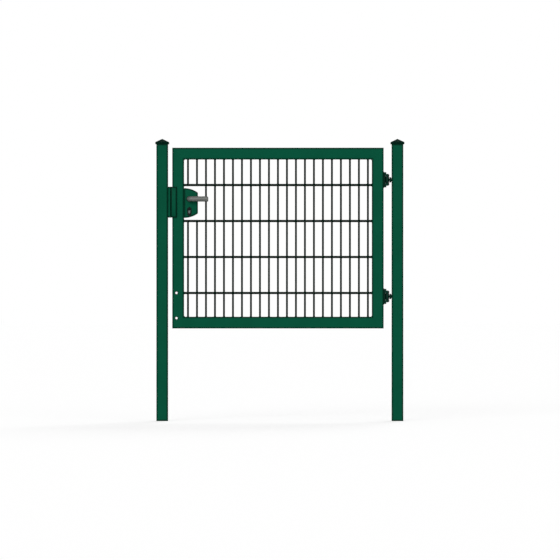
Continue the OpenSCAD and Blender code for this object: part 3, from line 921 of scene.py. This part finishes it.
def make_hinge(which):
    """One hinge: eye bolt, plate, bracket, pin, lock nut and bush, and the weld round the plate's foot."""
    make_eye_bolt(which)
    for part, width, body, slot, material in (
            ("hinge_plate", 0.0012, "leaf", "hinge_coat", hinge_coat),
            ("hinge_bracket", 0.0008, "leaf", "hinge_coat", bracket_coat),
            ("hinge_pin", 0.0008, "leaf", "lock_steel", lock_steel),
            ("lock_nut", 0.0003, "posts", "hinge_coat", hinge_coat),
            ("post_bush", 0.0004, "posts", "green_coat", green_coat)):
        node = f"{which}_{part}"
        piece(softened(node, width, segments=3), node + "_finished", body, material, [node])
    low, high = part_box(which + "_hinge_plate")
    weld = 0.0035
    weld_side = 0.0015
    beside = Y * weld_side + Z * weld
    bm = bmesh.new()
    add_box(bm, low - beside, Vector((low.x + weld, high.y, high.z)) + beside)
    round_edges(bm, width=0.003, segments=4, chosen=clear_of(low.x))
    piece(bm, which + "_hinge_weld", "leaf", hinge_coat)


make_mesh()
make_corner_welds()
make_mitre_seams()
make_hole_bushes()
make_cap("latch_post_cap", "latch_post_cap_moulded")
make_cap("hinge_post_cap", "hinge_post_cap_moulded")
make_lock_case()
make_escutcheons()
make_cylinder()
make_forend()
make_handle("front_handle", -1)
make_handle("back_handle", 1)
make_handle_rings()
make_grub_screws()
make_keep()
make_buffers()
for height in ("lower", "upper"):
    make_hinge(height)


# ---------------------------------------------------------------- studio

def see_white(tree, plain, white):
    """Mix of two shaders: white where the camera, a reflection or glass looks, and plain elsewhere."""
    path = tree.nodes.new("ShaderNodeLightPath").outputs
    seen = reckon(tree, "MAXIMUM", path["Is Camera Ray"], path["Is Glossy Ray"])
    seen = reckon(tree, "MAXIMUM", seen, path["Is Transmission Ray"])
    return put(tree, "ShaderNodeMixShader", {}, {0: seen, 1: plain, 2: white}).outputs[0]


FLOOR_TONE = 0.5
FLOOR_GLOW = 0.585       # brings the lit floor up to white and leaves the shadows on it
FLOOR_RADIUS = 60
WORLD_LIGHT = 0.35


def make_floor():
    bm = bmesh.new()
    bmesh.ops.create_circle(bm, cap_ends=True, segments=96, radius=FLOOR_RADIUS,
                            matrix=Matrix.Translation((*middle("mesh_panel").xy, cad_box[0].z)))
    mesh = bpy.data.meshes.new("studio_floor")
    bm.to_mesh(mesh)
    bm.free()
    floor = bpy.data.objects.new("studio_floor", mesh)
    bpy.context.scene.collection.objects.link(floor)
    material = bpy.data.materials.new("studio_floor")
    material.use_nodes = True
    tree = material.node_tree
    tree.nodes.clear()
    grey = (FLOOR_TONE, FLOOR_TONE, FLOOR_TONE, 1)
    plain = put(tree, "ShaderNodeBsdfDiffuse", {"Color": grey}).outputs[0]
    glow = put(tree, "ShaderNodeEmission", {"Color": (1, 1, 1, 1), "Strength": FLOOR_GLOW}).outputs[0]
    lit = put(tree, "ShaderNodeAddShader", {}, {0: plain, 1: glow}).outputs[0]
    put(tree, "ShaderNodeOutputMaterial", {}, {"Surface": see_white(tree, plain, lit)})
    mesh.materials.append(material)


def make_world():
    world = bpy.data.worlds.new("studio")
    bpy.context.scene.world = world
    world.use_nodes = True
    tree = world.node_tree
    tree.nodes.clear()
    dim = put(tree, "ShaderNodeBackground", {"Color": (1, 1, 1, 1), "Strength": WORLD_LIGHT}).outputs[0]
    white = put(tree, "ShaderNodeBackground", {"Color": (1, 1, 1, 1), "Strength": 1}).outputs[0]
    put(tree, "ShaderNodeOutputWorld", {}, {"Surface": see_white(tree, dim, white)})


def make_lamp(name, azimuth, elevation, strength, spread):
    """Soft distant lamp; azimuth 0 is in front of the gate."""
    lamp = bpy.data.lights.new(name, "SUN")
    lamp.energy = strength
    lamp.angle = math.radians(spread)
    made = bpy.data.objects.new(name, lamp)
    bpy.context.scene.collection.objects.link(made)
    turn, lift = math.radians(azimuth), math.radians(elevation)
    back = Vector((math.sin(turn) * math.cos(lift), -math.cos(turn) * math.cos(lift), math.sin(lift)))
    made.rotation_euler = (-back).to_track_quat("-Z", "Y").to_euler()


def make_camera():
    """Long lens, square on, with room round the gate as in a catalogue."""
    lens = 0.300
    sensor = 0.036
    view_width = 3.110
    off_middle = Vector((0.0009, 0, -0.0008))
    aim = (cad_box[0] + cad_box[1]) / 2 + off_middle
    aim.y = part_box("lock_stile")[0].y
    camera = bpy.data.cameras.new("camera")
    camera.lens = lens * 1000
    camera.sensor_width = sensor * 1000
    camera.clip_end = 200
    made = bpy.data.objects.new("camera", camera)
    bpy.context.scene.collection.objects.link(made)
    made.location = aim - Y * (view_width * lens / sensor)
    made.rotation_euler = (math.radians(90), 0, 0)
    bpy.context.scene.camera = made


make_floor()
make_world()
make_lamp("key_lamp", azimuth=-22, elevation=18, strength=1.55, spread=30)
make_lamp("fill_lamp", azimuth=35, elevation=10, strength=0.75, spread=45)
make_lamp("back_lamp", azimuth=160, elevation=35, strength=1.5, spread=30)
make_camera()
bpy.context.scene.view_settings.view_transform = "Standard"
